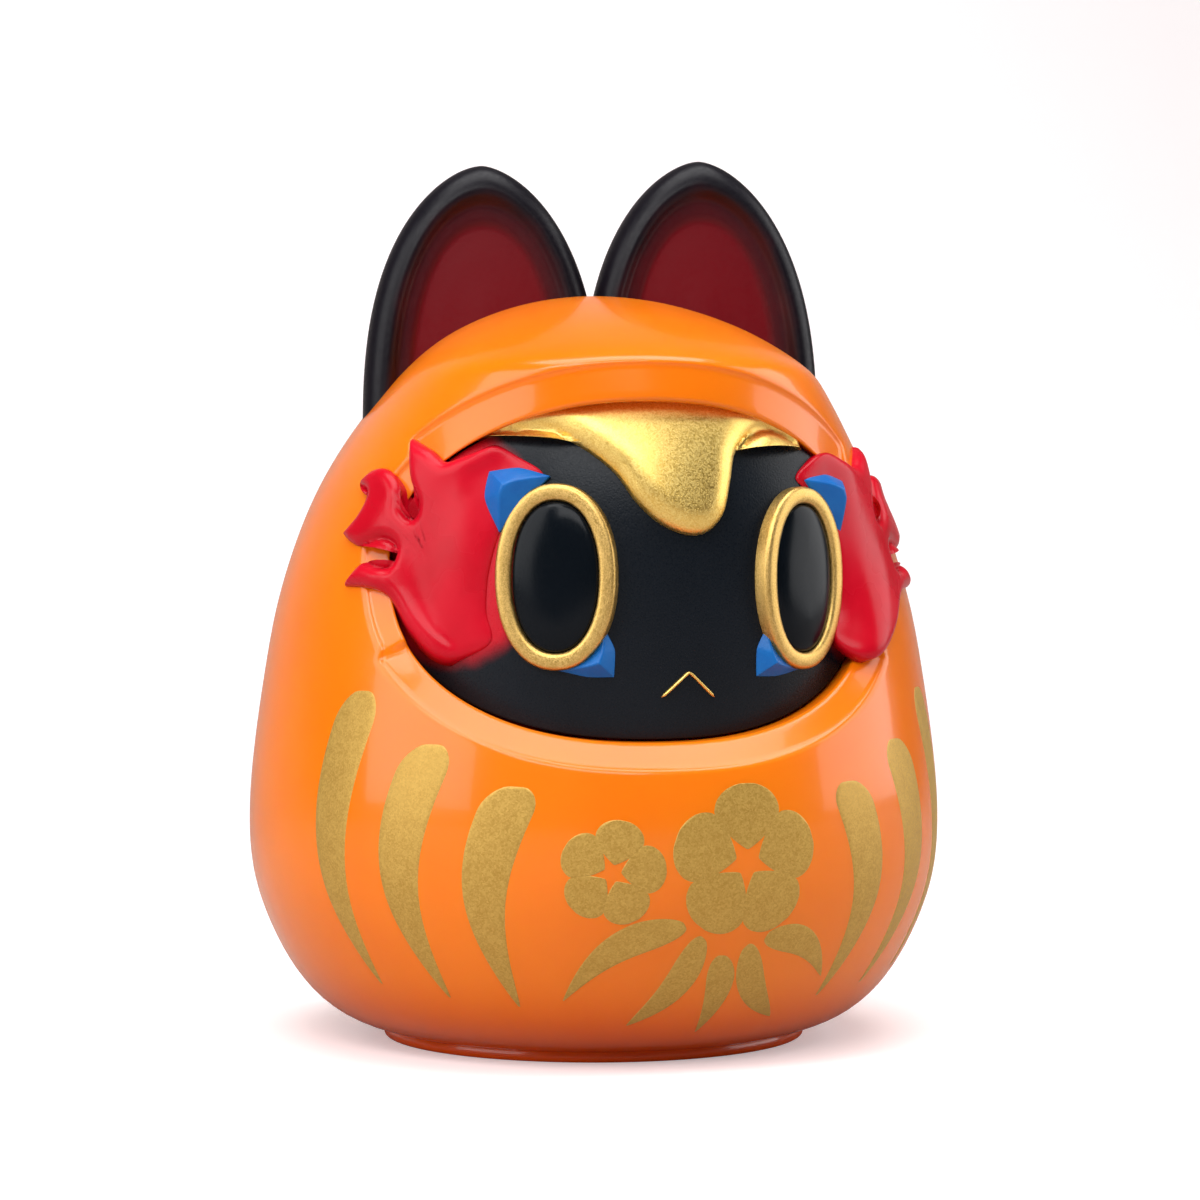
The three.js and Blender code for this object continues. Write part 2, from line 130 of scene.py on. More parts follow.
def meet_skin(start, aim, reach=90.0):
    """Where lines from points inside the skin, along unit directions, come out of it."""
    low = np.zeros(start.shape[:-1])
    high = np.full(start.shape[:-1], reach)
    for _ in range(40):
        middle = (low + high) / 2
        inside = outside(start + aim * middle[..., None]) < 0
        low = np.where(inside, middle, low)
        high = np.where(inside, high, middle)
    return start + aim * low[..., None]


def as_points(x, y, z):
    return np.stack(np.broadcast_arrays(x, y, z), -1)


def on_front(x, z):
    """The skin's front at a place on the front view."""
    start = as_points(x, 0.0, z)
    return meet_skin(start, np.broadcast_to([0.0, -1.0, 0.0], start.shape))


def opening(turn, grow=0.0):
    """The face opening's rounded oval on the hood's front view, widened by grow."""
    across, up = np.cos(turn), np.sin(turn)
    power = 2 / np.where(up > 0, OPENING_ROUNDNESS_ABOVE, OPENING_ROUNDNESS_BELOW)
    x = (OPENING_HALF_WIDTH + grow) * np.sign(across) * np.abs(across) ** power
    z = (OPENING_HALF_HEIGHT + grow) * np.sign(up) * np.abs(up) ** power
    return x, OPENING_CENTRE + z


def with_hood(points):
    """Points turned from the hood's own frame into the doll's."""
    x, y, z = points[..., 0], points[..., 1], points[..., 2]
    cos, sin = math.cos(HOOD_TURN), math.sin(HOOD_TURN)
    return as_points(x * cos - y * sin, x * sin + y * cos, z)


def ease(value, low, high):
    """0 below low, 1 above high, and smooth between them."""
    share = np.clip((value - low) / (high - low), 0, 1)
    return share * share * (3 - 2 * share)


def place_in_scene(name, data):
    piece = bpy.data.objects.new(name, data)
    bpy.context.scene.collection.objects.link(piece)
    return piece


def build(name, rows, material, first_point=None, last_point=None):
    """A smooth mesh from closed rings of points in mm; a point can cap each end."""
    rows = np.asarray(rows, float)
    count, across = rows.shape[:2]
    points = list(rows.reshape(-1, 3))
    faces = []
    for i in range(count - 1):
        for j in range(across):
            k = (j + 1) % across
            faces.append((i * across + j, i * across + k, (i + 1) * across + k, (i + 1) * across + j))
    for cap, row, is_first in ((first_point, 0, True), (last_point, count - 1, False)):
        if cap is None:
            continue
        points.append(np.asarray(cap, float))
        tip = len(points) - 1
        for j in range(across):
            a, b = row * across + j, row * across + (j + 1) % across
            faces.append((b, a, tip) if is_first else (a, b, tip))
    mesh = bpy.data.meshes.new(name)
    mesh.from_pydata([tuple(point * MM) for point in points], [], faces)
    mesh.update()
    mesh.polygons.foreach_set("use_smooth", [True] * len(mesh.polygons))
    mesh.materials.append(material)
    return place_in_scene(name, mesh)


def turn_outwards(piece):
    """Turns the whole mesh right side out if its faces point inwards."""
    mesh = piece.data
    volume = 0.0
    for face in mesh.polygons:
        corners = [mesh.vertices[i].co for i in face.vertices]
        for i in range(1, len(corners) - 1):
            volume += corners[0].dot(corners[i].cross(corners[i + 1]))
    if volume < 0:
        mesh.flip_normals()


def settle(piece, node):
    """The piece stands for its CAD node and rides on the doll's one body."""
    turn_outwards(piece)
    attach(piece, "root")
    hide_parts(node)


# Shared surface effects ---------------------------

def add_inputs(tree, inputs):
    for label, value in inputs:
        socket = tree.interface.new_socket(label, in_out="INPUT", socket_type="NodeSocketFloat")
        socket.default_value = value


def shader_group(name, inputs, outputs):
    tree = bpy.data.node_groups.new(name, "ShaderNodeTree")
    add_inputs(tree, inputs)
    for label in outputs:
        tree.interface.new_socket(label, in_out="OUTPUT", socket_type="NodeSocketFloat")
    return tree, tree.nodes.new("NodeGroupInput"), tree.nodes.new("NodeGroupOutput")


def feed(tree, node, **sources):
    """Gives a node's inputs, by name, a number, a colour or another node's output."""
    for label, source in sources.items():
        socket = node.inputs[label.replace("_", " ")]
        if isinstance(source, bpy.types.NodeSocket):
            tree.links.new(source, socket)
        else:
            socket.default_value = source


def noise_node(tree, scale, detail, coordinates):
    noise = tree.nodes.new("ShaderNodeTexNoise")
    feed(tree, noise, Detail=detail, Vector=coordinates, Scale=scale)
    return noise.outputs["Fac"]


def ramp_between(tree, value, low, high, out_low=0.0, out_high=1.0):
    span = tree.nodes.new("ShaderNodeMapRange")
    span.interpolation_type = "SMOOTHSTEP"
    feed(tree, span, Value=value, From_Min=low, From_Max=high, To_Min=out_low, To_Max=out_high)
    return span.outputs["Result"]


def math_node(tree, operation, first, second=None, clamp=False):
    node = tree.nodes.new("ShaderNodeMath")
    node.operation = operation
    node.use_clamp = clamp
    for socket, value in ((0, first), (1, second)):
        if value is None:
            continue
        if isinstance(value, (int, float)):
            node.inputs[socket].default_value = value
        else:
            tree.links.new(value, node.inputs[socket])
    return node.outputs[0]


def make_cast_grain():
    """Orange peel and faint flow of a cast or sprayed surface: a height and a slow mottle."""
    tree, inlet, outlet = shader_group(
        "cast_grain", [("Peel Scale", 900.0), ("Mottle Scale", 60.0)], ["Height", "Mottle"],
    )
    place = tree.nodes.new("ShaderNodeTexCoord").outputs["Object"]
    peel = noise_node(tree, inlet.outputs["Peel Scale"], 2.0, place)
    mottle = noise_node(tree, inlet.outputs["Mottle Scale"], 3.0, place)
    feed(tree, outlet, Height=peel, Mottle=mottle)
    return tree


def make_flake():
    """Fine metal flakes in a sprayed paint: a speckle and a slower cloud."""
    tree, inlet, outlet = shader_group(
        "flake", [("Flake Scale", 7000.0), ("Cloud Scale", 250.0)], ["Speckle", "Cloud"],
    )
    place = tree.nodes.new("ShaderNodeTexCoord").outputs["Object"]
    cells = tree.nodes.new("ShaderNodeTexVoronoi")
    feed(tree, cells, Vector=place, Scale=inlet.outputs["Flake Scale"])
    split = tree.nodes.new("ShaderNodeSeparateColor")
    feed(tree, split, Color=cells.outputs["Color"])
    cloud = noise_node(tree, inlet.outputs["Cloud Scale"], 4.0, place)
    feed(tree, outlet, Speckle=split.outputs["Red"], Cloud=cloud)
    return tree


cast_grain = make_cast_grain()
flake = make_flake()


def new_material(name):
    material = bpy.data.materials.new(name)
    material.use_nodes = True
    return material, material.node_tree, material.node_tree.nodes["Principled BSDF"]


def place_group(tree, group, **values):
    node = tree.nodes.new("ShaderNodeGroup")
    node.node_tree = group
    feed(tree, node, **values)
    return node


def mix_colour(tree, factor, first, second):
    mix = tree.nodes.new("ShaderNodeMix")
    mix.data_type = "RGBA"
    for socket, value in ((6, first), (7, second)):
        if isinstance(value, tuple):
            mix.inputs[socket].default_value = (*value, 1)
        else:
            tree.links.new(value, mix.inputs[socket])
    tree.links.new(factor, mix.inputs[0])
    return mix.outputs[2]


def bump(tree, shader, height, distance, strength=1.0):
    node = tree.nodes.new("ShaderNodeBump")
    feed(tree, node, Distance=distance, Strength=strength, Height=height)
    feed(tree, shader, Normal=node.outputs["Normal"])


def orange_vinyl():
    """Glossy cast vinyl that lets a little light in; painted shade makes the colour deeper and redder
    towards the foot, where little light reaches.
    """
    material, tree, shader = new_material("orange_vinyl")
    grain = place_group(tree, cast_grain, Peel_Scale=700.0, Mottle_Scale=45.0)
    patch = ramp_between(tree, grain.outputs["Mottle"], 0.3, 0.7)
    colour = mix_colour(tree, patch, (0.86, 0.175, 0.001), (0.90, 0.200, 0.003))
    # Painted shade: by height, the colour turns a darker red over the lowest centimetre, standing in
    # for the shade under the belly.
    split = tree.nodes.new("ShaderNodeSeparateXYZ")
    tree.links.new(tree.nodes.new("ShaderNodeTexCoord").outputs["Object"], split.inputs[0])
    clear_of_painted_shade = ramp_between(tree, split.outputs["Z"], -0.003, 0.010)
    colour = mix_colour(tree, clear_of_painted_shade, (0.80, 0.06, 0.001), colour)
    shine = ramp_between(tree, grain.outputs["Mottle"], 0.2, 0.8, 0.20, 0.27)
    feed(
        tree, shader, Base_Color=colour, Roughness=shine, Specular_IOR_Level=0.3,
        Subsurface_Weight=0.18, Subsurface_Radius=(1.0, 0.35, 0.08), Subsurface_Scale=0.0025,
        Coat_Weight=0.3, Coat_Roughness=0.06,
    )
    bump(tree, shader, grain.outputs["Height"], 0.00002, 0.5)
    return material


def between(ends, share):
    return ends[0] + (ends[1] - ends[0]) * share


def rounded(start, corner, end, steps):
    """Rows that turn a corner smoothly, without their first and last."""
    share = np.linspace(0, 1, steps + 2)[1:-1]
    return [(1 - s) ** 2 * start + 2 * s * (1 - s) * corner + s ** 2 * end for s in share]


def rim_rows(turn):
    """Rows from the collar's back end, up through the opening and over its rim to the skin."""
    edge_x, edge_z = opening(turn)
    lip = 1 - ease(edge_z, *LIP_ENDS)
    brim = ease(edge_z, *BRIM_STARTS)
    beside = 1 - lip - brim
    upright = np.abs(np.sin(turn))
    width = lip * between(LIP_WIDTH, upright) + brim * between(BRIM_WIDTH, upright)
    width += beside * SIDE_WIDTH
    depth = lip * LIP_DEPTH + brim * BRIM_DEPTH + beside * SIDE_DEPTH
    drop = (lip + brim) * LIP_DROP + beside * SIDE_DROP

    inner = on_front(edge_x, edge_z) + as_points(0, depth, 0)
    outer = on_front(*opening(turn, width))
    after = on_front(*opening(turn, width + OUTER_ROUND))
    inward = -outer * np.array([1, 1, 0])
    inward /= np.linalg.norm(inward, axis=-1, keepdims=True)
    shelf = outer + inward * drop[:, None]
    slope = shelf - inner
    slope /= np.linalg.norm(slope, axis=-1, keepdims=True)
    collar_end = as_points(edge_x, COLLAR_BACK, edge_z)
    wall_top = inner + np.array([0, INNER_ROUND, 0])
    band_start = inner + slope * INNER_ROUND
    shelf_end = shelf - slope * SHELF_ROUND

    rows = [collar_end + (wall_top - collar_end) * s for s in np.linspace(0, 1, 8)]
    rows += rounded(wall_top, inner, band_start, 4)
    rows += [band_start + (shelf_end - band_start) * s for s in np.linspace(0, 1, 6)]
    rows += rounded(shelf_end, outer, after, 7)
    return rows + [after]


def sweep_back(start_points, count, inset, crowd):
    """Rows from the points round the skin to the middle of the back, set in by inset."""
    centre = np.array(SWEEP_CENTRE, float)
    aim = start_points - centre
    aim /= np.linalg.norm(aim, axis=-1, keepdims=True)
    tilt = np.arccos(-aim[:, 1])
    around = np.arctan2(aim[:, 2], aim[:, 0])
    result = []
    for share in np.linspace(0, 1, count + 2)[1:-1] ** crowd:
        swing = tilt + (math.pi - tilt) * share
        heading = as_points(
            np.sin(swing) * np.cos(around), -np.cos(swing), np.sin(swing) * np.sin(around),
        )
        start = np.broadcast_to(centre, heading.shape)
        result.append(meet_skin(start, heading) - heading * inset)
    pole = meet_skin(centre[None], np.array([[0.0, 1.0, 0.0]]))[0] - np.array([0, inset, 0])
    return result, pole


def body_shell(vinyl):
    """The whole skin: inside from the back to the collar, out over the rim, and round to the back."""
    turn = np.linspace(0, 2 * math.pi, COLUMNS, endpoint=False)
    front_rows = rim_rows(turn)
    outer_rows, back_pole = sweep_back(front_rows[-1], BACK_ROWS, 0.0, 1.2)
    collar_x, collar_z = opening(turn, COLLAR_WALL)
    collar_outside = as_points(collar_x, COLLAR_BACK, collar_z)
    behind_collar = as_points(collar_x, INSIDE_START, collar_z)
    inner_rows, inner_pole = sweep_back(behind_collar, INNER_ROWS, WALL, 1.0)
    return build(
        "vinyl_body",
        with_hood(np.array(inner_rows[::-1] + [collar_outside] + front_rows + outer_rows)),
        vinyl, first_point=with_hood(inner_pole), last_point=with_hood(back_pole),
    )


vinyl = orange_vinyl()
body = body_shell(vinyl)
settle(body, "body_shell")


# --------------------------------------------------
# Foot plug. A low disc of the same vinyl, pressed into the seat hole; the doll stands on it, and
# a cast iron disc is glued on its inside so that the doll stays upright.
# --------------------------------------------------

FOOT_RADIUS = 21.8
FOOT_EDGE = 0.35
FOOT_FLAT = 4.0
FOOT_COLUMNS = 160
PLUG_RADIUS = 16.7
PLUG_INNER_RADIUS = 12.0
PLUG_TOP = FOOT_TOP + 3.2


def foot_disc():
    around = np.linspace(0, 2 * math.pi, FOOT_COLUMNS, endpoint=False)
    section = [(FOOT_RADIUS - FOOT_FLAT, 0.0), (FOOT_RADIUS - FOOT_EDGE, 0.0)]
    for angle in np.linspace(-90, 0, 6)[1:]:
        lift = math.radians(angle)
        section.append((
            FOOT_RADIUS - FOOT_EDGE + FOOT_EDGE * math.cos(lift),
            FOOT_EDGE + FOOT_EDGE * math.sin(lift),
        ))
    section += [
        (FOOT_RADIUS, FOOT_TOP - 0.1), (FOOT_RADIUS - 0.1, FOOT_TOP), (PLUG_RADIUS, FOOT_TOP),
        (PLUG_RADIUS, PLUG_TOP), (PLUG_INNER_RADIUS, PLUG_TOP),
    ]
    rings = [
        as_points(radius * np.cos(around), radius * np.sin(around), height)
        for radius, height in section
    ]
    return build("foot_disc", rings, vinyl, first_point=(0, 0, 0), last_point=(0, 0, PLUG_TOP))


settle(foot_disc(), "base_plug")


def cast_iron():
    material, tree, shader = new_material("ballast_iron")
    grain = place_group(tree, cast_grain, Peel_Scale=2200.0, Mottle_Scale=300.0)
    colour = mix_colour(tree, grain.outputs["Mottle"], (0.10, 0.10, 0.105), (0.24, 0.235, 0.23))
    feed(tree, shader, Base_Color=colour, Metallic=1.0, Roughness=0.6)
    bump(tree, shader, grain.outputs["Height"], 0.0001)
    return material


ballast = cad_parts["ballast_weight"]
ballast.data.materials.clear()
ballast.data.materials.append(cast_iron())


# --------------------------------------------------
# Face plate. A black sprayed plate, domed like part of an egg, pressed into the collar from the
# front; red is airbrushed on its temples, under the flames.
# --------------------------------------------------

FACE_CENTRE_Y = -3.8
FACE_HALF_WIDTH = 28
FACE_DEPTH = 27.5
FACE_FALL = 60
FOREHEAD = 3.7e-5
FACE_GAP = 0.25
FACE_COLUMNS = 220
FACE_ROWS = 46
FACE_FLANGE = (4.0, 2.0, 0.5)  # how far behind the rim each row of the flange is
FACE_MIDDLE = (0.0, -27.0, OPENING_CENTRE)
FACE_BACK = -14
TEMPLE = (0.0205, 0.050)  # middle of the airbrushed red, across and up, in metres
TEMPLE_SQUEEZE = (1.1, 0.72)


def on_face(x, z):
    """The face plate's front at a place on the front view."""
    up = z - OPENING_CENTRE
    inside = 1 - (x / FACE_HALF_WIDTH) ** 2 - (up / FACE_FALL) ** 2
    inside -= FOREHEAD * np.maximum(up, 0) ** 3
    return as_points(x, FACE_CENTRE_Y - FACE_DEPTH * np.sqrt(np.maximum(inside, 0.01)), z)


def normals_of(surface, x, z, step=0.05):
    """Outward unit normals of a front surface."""
    across = surface(x + step, z) - surface(x - step, z)
    up = surface(x, z + step) - surface(x, z - step)
    normal = np.cross(across, up)
    normal *= np.where(normal[..., 1:2] > 0, -1, 1)
    return normal / np.linalg.norm(normal, axis=-1, keepdims=True)


def black_face():
    """Satin black, with a soft-edged patch of red airbrushed on each temple."""
    material, tree, shader = new_material("black_face")
    grain = place_group(tree, cast_grain, Peel_Scale=5200.0, Mottle_Scale=120.0)
    place = tree.nodes.new("ShaderNodeTexCoord").outputs["Object"]
    split = tree.nodes.new("ShaderNodeSeparateXYZ")
    tree.links.new(place, split.inputs[0])
    off_middle = math_node(tree, "ABSOLUTE", split.outputs["X"])
    edge_noise = noise_node(tree, 500.0, 4.0, place)
    wobble = math_node(tree, "MULTIPLY", math_node(tree, "SUBTRACT", edge_noise, 0.5), 0.0005)
    squares = []
    for place_of, middle, squeeze in zip((off_middle, split.outputs["Z"]), TEMPLE, TEMPLE_SQUEEZE):
        distance = math_node(tree, "MULTIPLY", math_node(tree, "SUBTRACT", place_of, middle), squeeze)
        squares.append(math_node(tree, "POWER", distance, 2.0))
    reach = math_node(tree, "SQRT", math_node(tree, "ADD", *squares))
    red = ramp_between(tree, math_node(tree, "ADD", reach, wobble), 0.0070, 0.0088, 1.0, 0.0)
    black = mix_colour(tree, grain.outputs["Mottle"], (0.003, 0.005, 0.008), (0.006, 0.009, 0.014))
    colour = mix_colour(tree, red, black, (0.52, 0.008, 0.02))
    shine = ramp_between(tree, grain.outputs["Height"], 0.3, 0.7, 0.26, 0.36)
    feed(tree, shader, Base_Color=colour, Roughness=shine, Specular_IOR_Level=0.18)
    bump(tree, shader, grain.outputs["Height"], 0.000035, 0.6)
    return material


def face():
    """The plate: its rim follows the opening, and each ring inside it lies on the dome."""
    around = np.linspace(0, 2 * math.pi, FACE_COLUMNS, endpoint=False)
    rim_x, rim_z = opening(around, -FACE_GAP)
    back = -20.0
    for _ in range(12):
        here = with_hood(as_points(rim_x, back, rim_z))
        touch = on_face(here[:, 0], rim_z)
        back = touch[:, 1] * math.cos(HOOD_TURN) - here[:, 0] * math.sin(HOOD_TURN)
    rim = with_hood(as_points(rim_x, back, rim_z))
    middle = with_hood(np.array(FACE_MIDDLE))
    rings = [with_hood(as_points(rim_x, back + step, rim_z)) for step in FACE_FLANGE] + [rim]
    for share in 1 - np.linspace(0, 1, FACE_ROWS)[1:-1] ** 1.2:
        x = middle[0] + (rim[:, 0] - middle[0]) * share
        z = middle[2] + (rim[:, 2] - middle[2]) * share
        rings.append(on_face(x, z))
    tip = on_face(middle[:1], middle[2:])[0]
    back_middle = (middle[0], FACE_BACK, OPENING_CENTRE)
    return build("face", rings, black_face(), first_point=back_middle, last_point=tip)


settle(face(), "face_plate")


# --------------------------------------------------
# Ears. Two separately cast black ears with a stepped hollow front, airbrushed dark red inside.
# Their oval plugs are pushed through the hood while the vinyl is warm.
# --------------------------------------------------

SIDES = (("left", -1), ("right", 1))
EAR_CENTRE_X = {"left": 11.9, "right": 11.1}
EAR_CENTRE_Y = -1.0
EAR_BASE_Z = 62
EAR_HALF_WIDTH = {"left": 12.4, "right": 12.6}
EAR_RISE = {"left": 28.0, "right": 29.1}
EAR_DROP = 5
EAR_HALF_THICKNESS = 3.0
EAR_EDGE = 2.3
EAR_LEAN = 0.6
EAR_TIP_INSET = 1.35
EAR_MIDDLE = 0.01
EAR_COLUMNS = 200
EAR_SIDE_CURVE = 1.2  # 1 is a plain oval's side
EAR_SIDE_EASE = 0.05  # rounder by this much for each mm inside the outline
EAR_TOP_CURVE = 0.77
EAR_BACK_DOME = 0.5
EAR_BACK_ROWS = (9, 6, 4)
EAR_PANEL_ROWS = (8.2, 9.2, 10.4, 11.4)
EAR_STEPS = [  # distance inside the outline, and how far the front is sunk there
    (0, 0), (2.2, 0), (3.4, 1.0), (4.2, 1.05), (5.0, 1.3), (8, 1.25), (12.6, 1.15),
]


def ear_ring(side, inset, depth_from_middle):
    """One closed row of an ear, set in from its outline, at a depth from its middle plane."""
    around = np.linspace(0, 2 * math.pi, EAR_COLUMNS, endpoint=False)
    across, up = np.cos(around), np.sin(around)
    curve = EAR_SIDE_CURVE - EAR_SIDE_EASE * inset
    x = (EAR_HALF_WIDTH[side] - inset) * np.sign(across) * np.abs(across) ** curve
    rise = np.where(up > 0, EAR_RISE[side] - inset * EAR_TIP_INSET, EAR_DROP)
    z = EAR_BASE_Z + rise * np.sign(up) * np.abs(up) ** EAR_TOP_CURVE
    lean = EAR_LEAN * (np.maximum(z - EAR_BASE_Z, 0) / EAR_RISE[side]) ** 2
    return as_points(x, depth_from_middle + lean, z)


def ear_thickness(inset):
    """Half the ear's thickness, which the rounded edge reaches a little inside the outline."""
    share = min(inset / EAR_EDGE, 1)
    return EAR_HALF_THICKNESS * math.sqrt(1 - (1 - share) ** 2)


def ear_sink(inset):
    """How far the stepped front is sunk at a distance inside the outline."""
    step = np.array(EAR_STEPS, float)
    i = min(max(np.searchsorted(step[:, 0], inset) - 1, 0), len(step) - 2)
    part = ease(inset, step[i, 0], step[i + 1, 0])
    return step[i, 1] + (step[i + 1, 1] - step[i, 1]) * part


def ear_rows(side):
    """Rows from the middle of the back over the edge to the middle of the front, with insets."""
    middle = EAR_HALF_WIDTH[side] - EAR_MIDDLE
    rows, insets = [], []
    back_insets = [middle, *EAR_BACK_ROWS]
    back_insets += [EAR_EDGE * (1 - math.sin(math.radians(a))) for a in range(0, 90, 12)]
    for inset in back_insets:
        dome = EAR_BACK_DOME * (inset / EAR_HALF_WIDTH[side])
        rows.append(ear_ring(side, inset, ear_thickness(inset) + dome))
        insets.append(0.0)
    front_insets = [EAR_EDGE * (1 - math.cos(math.radians(a))) for a in range(8, 91, 10)]
    front_insets += [*np.arange(2.6, 7.6, 0.2), *EAR_PANEL_ROWS, middle]
    for inset in front_insets:
        rows.append(ear_ring(side, inset, ear_sink(inset) - ear_thickness(inset)))
        insets.append(inset)
    return np.array(rows), insets


def ear_vinyl():
    """Satin black that turns dark red inside the rim, where the airbrush reached."""
    material, tree, shader = new_material("ear_vinyl")
    grain = place_group(tree, cast_grain, Peel_Scale=2600.0, Mottle_Scale=160.0)
    inset = tree.nodes.new("ShaderNodeAttribute")
    inset.attribute_name = "inset"
    off_mean = math_node(tree, "SUBTRACT", grain.outputs["Mottle"], 0.5)
    drift = math_node(tree, "MULTIPLY", off_mean, 2.4)
    reach = math_node(tree, "ADD", inset.outputs["Fac"], drift)
    red = ramp_between(tree, reach, 1.6, 4.4)
    step = ramp_between(tree, inset.outputs["Fac"], 4.2, 5.4)
    deep = mix_colour(tree, step, (0.055, 0.003, 0.006), (0.125, 0.002, 0.006))
    colour = mix_colour(tree, red, (0.004, 0.003, 0.006), deep)
    shine = ramp_between(tree, grain.outputs["Height"], 0.3, 0.7, 0.32, 0.42)
    feed(tree, shader, Base_Color=colour, Roughness=shine, Specular_IOR_Level=0.18)
    bump(tree, shader, grain.outputs["Height"], 0.00002, 0.5)
    return material


ear_paint = ear_vinyl()
for side, sign in SIDES:
    ring_rows, ring_insets = ear_rows(side)
    placed = with_hood(ring_rows + np.array([EAR_CENTRE_X[side] * sign, EAR_CENTRE_Y, 0]))
    ear = build(f"cast_ear_{side}", placed, ear_paint)
    values = np.repeat(np.array(ring_insets), placed.shape[1])
    field = ear.data.attributes.new("inset", "FLOAT", "POINT")
    field.data.foreach_set("value", values[:len(ear.data.vertices)])
    settle(ear, f"ear_{side}")


# --------------------------------------------------
# Flames. Raised red licks at the temples, laid over the side of the face opening and sprayed.
# --------------------------------------------------

FLAME_HEIGHT = 1.15
FLAME_EDGE = 1.3
FLAME_NEAR_EYE = (17.5, 22.5)
FLAME_TONGUES = (25, 31)
FLAME_THIN = 0.3
FLAME_FILL = 0.6
FLAME_RIDGE = 0.06
FLAME_SINK = (-1.2, 3.4)
FLAME_SHIFT = {"left": 0.0, "right": 1.2}
FLAME_WRAP = 31.6
FLAME_CENTRE = (24.0, 48.6)
FLAME = [  # length round the body from the front, height, and 1 at a sharp tip
    (17.5, 40.9), (20.2, 39.2), (22.8, 39.6), (26, 42), (28.8, 44.8), (31.4, 45.9),
    (35.6, 46.2, 1), (33.4, 48.4), (31.2, 47.9), (29.4, 48), (29, 49.8), (31, 50.7),
    (34.8, 50.1), (37.6, 51.2, 1), (35.4, 53.2), (34.8, 55.2), (37, 56.2, 1), (34.6, 57.5),
    (32.2, 57.4), (30, 55.6), (29.2, 53.4), (27.4, 52.6), (26.9, 54), (28.6, 56.6),
    (29.4, 60.4, 1), (26.6, 59.2), (24.4, 58.0), (21.8, 58.6), (18.6, 59.3), (15.6, 58.2),
    (13.6, 56.6), (15.6, 55), (17.8, 51.6), (18.6, 47.4), (18.3, 43.8),
]


def closed_curve(corners, steps=10, pull=0.5):
    """A closed curve through corners on a plan; a corner marked 1 stays sharp."""
    points = np.array([corner[:2] for corner in corners], float)
    sharp = [len(corner) > 2 for corner in corners]
    count = len(points)
    curve = []
    for i in range(count):
        here, ahead = points[i], points[(i + 1) % count]
        before, beyond = points[i - 1], points[(i + 2) % count]
        leave = (ahead - here) * pull if sharp[i] else (ahead - before) * pull
        arrive = (ahead - here) * pull if sharp[(i + 1) % count] else (beyond - here) * pull
        for share in np.linspace(0, 1, steps, endpoint=False):
            s2, s3 = share ** 2, share ** 3
            curve.append(
                (2 * s3 - 3 * s2 + 1) * here + (s3 - 2 * s2 + share) * leave
                + (3 * s2 - 2 * s3) * ahead + (s3 - s2) * arrive
            )
    return np.array(curve)


def distance_to(curve, places):
    """Shortest distance on the plan from each place to a closed curve."""
    start, end = curve, np.roll(curve, -1, axis=0)
    run = end - start
    nearest = np.full(places.shape[:-1], 1e9)
    for a, d in zip(start, run):
        share = np.clip(((places - a) @ d) / max(d @ d, 1e-12), 0, 1)
        nearest = np.minimum(nearest, np.linalg.norm(places - a - share[..., None] * d, axis=-1))
    return nearest


def relief(name, curve, centre, lay, height, edge, material, roof=False, rings=22,
           shape=None, skirt=0.5):
    """A raised patch inside a closed curve: rounded at its edge, laid on a surface by lay()."""
    def rise(plan):
        part = np.clip(distance_to(curve, plan) / edge, 0, 1)
        lift = height * (part if roof else np.sqrt(1 - (1 - part) ** 2))
        return lift if shape is None else lift * shape(plan)

    centre = np.array(centre, float)
    rows = [lay(curve, np.full(len(curve), -skirt))]
    for share in 1 - np.linspace(0, 1, rings + 1)[:-1] ** 1.35:
        plan = centre + (curve - centre) * share
        rows.append(lay(plan, rise(plan)))
    tip = centre[None]
    return build(
        name, rows, material,
        first_point=lay(tip, np.array([-skirt]))[0], last_point=lay(tip, rise(tip))[0],
    )


def opening_depth(x, z):
    """How far inside the face opening a place on the hood's front view is; zero at its edge."""
    power = np.where(z > OPENING_CENTRE, OPENING_ROUNDNESS_ABOVE, OPENING_ROUNDNESS_BELOW)
    across = np.abs(x / OPENING_HALF_WIDTH) ** power
    up = np.abs((z - OPENING_CENTRE) / OPENING_HALF_HEIGHT) ** power
    return (1 - (across + up) ** (1 / power)) * OPENING_HALF_HEIGHT


def flame_base(along, z):
    """The surface under a flame: the skin outside the opening, sinking smoothly to the face."""
    angle = along / FLAME_WRAP
    radius = skin_radius(z, angle - HOOD_TURN)
    skin = as_points(radius * np.sin(angle), -radius * np.cos(angle), z)
    face_edge = FACE_HALF_WIDTH - 1.5
    face_y = on_face(np.clip(skin[..., 0], -face_edge, face_edge), z)[..., 1]
    depth = ease(opening_depth(radius * np.sin(angle - HOOD_TURN), z), *FLAME_SINK)
    y = skin[..., 1] * (1 - depth) + np.maximum(face_y, skin[..., 1]) * depth
    return as_points(skin[..., 0], np.minimum(y, np.where(depth > 0.5, face_y, y)), z)


def red_paint():
    """Satin red paint over the vinyl."""
    material, tree, shader = new_material("red_paint")
    grain = place_group(tree, cast_grain, Peel_Scale=1500.0, Mottle_Scale=130.0)
    patch = ramp_between(tree, grain.outputs["Mottle"], 0.3, 0.7)
    colour = mix_colour(tree, patch, (0.48, 0.002, 0.012), (0.58, 0.003, 0.018))
    shine = ramp_between(tree, grain.outputs["Mottle"], 0.2, 0.8, 0.22, 0.32)
    feed(tree, shader, Base_Color=colour, Roughness=shine, Specular_IOR_Level=0.2)
    bump(tree, shader, grain.outputs["Height"], 0.00002, 0.4)
    return material


def flame_shape(plan):
    """Thin beside the eye, full over the edge of the opening, with faint ridges on the tongues."""
    along, height = plan[:, 0], plan[:, 1]
    full = FLAME_THIN + FLAME_FILL * ease(along, *FLAME_NEAR_EYE)
    return full + FLAME_RIDGE * np.sin(height * 1.15 + along * 0.12) * ease(along, *FLAME_TONGUES)


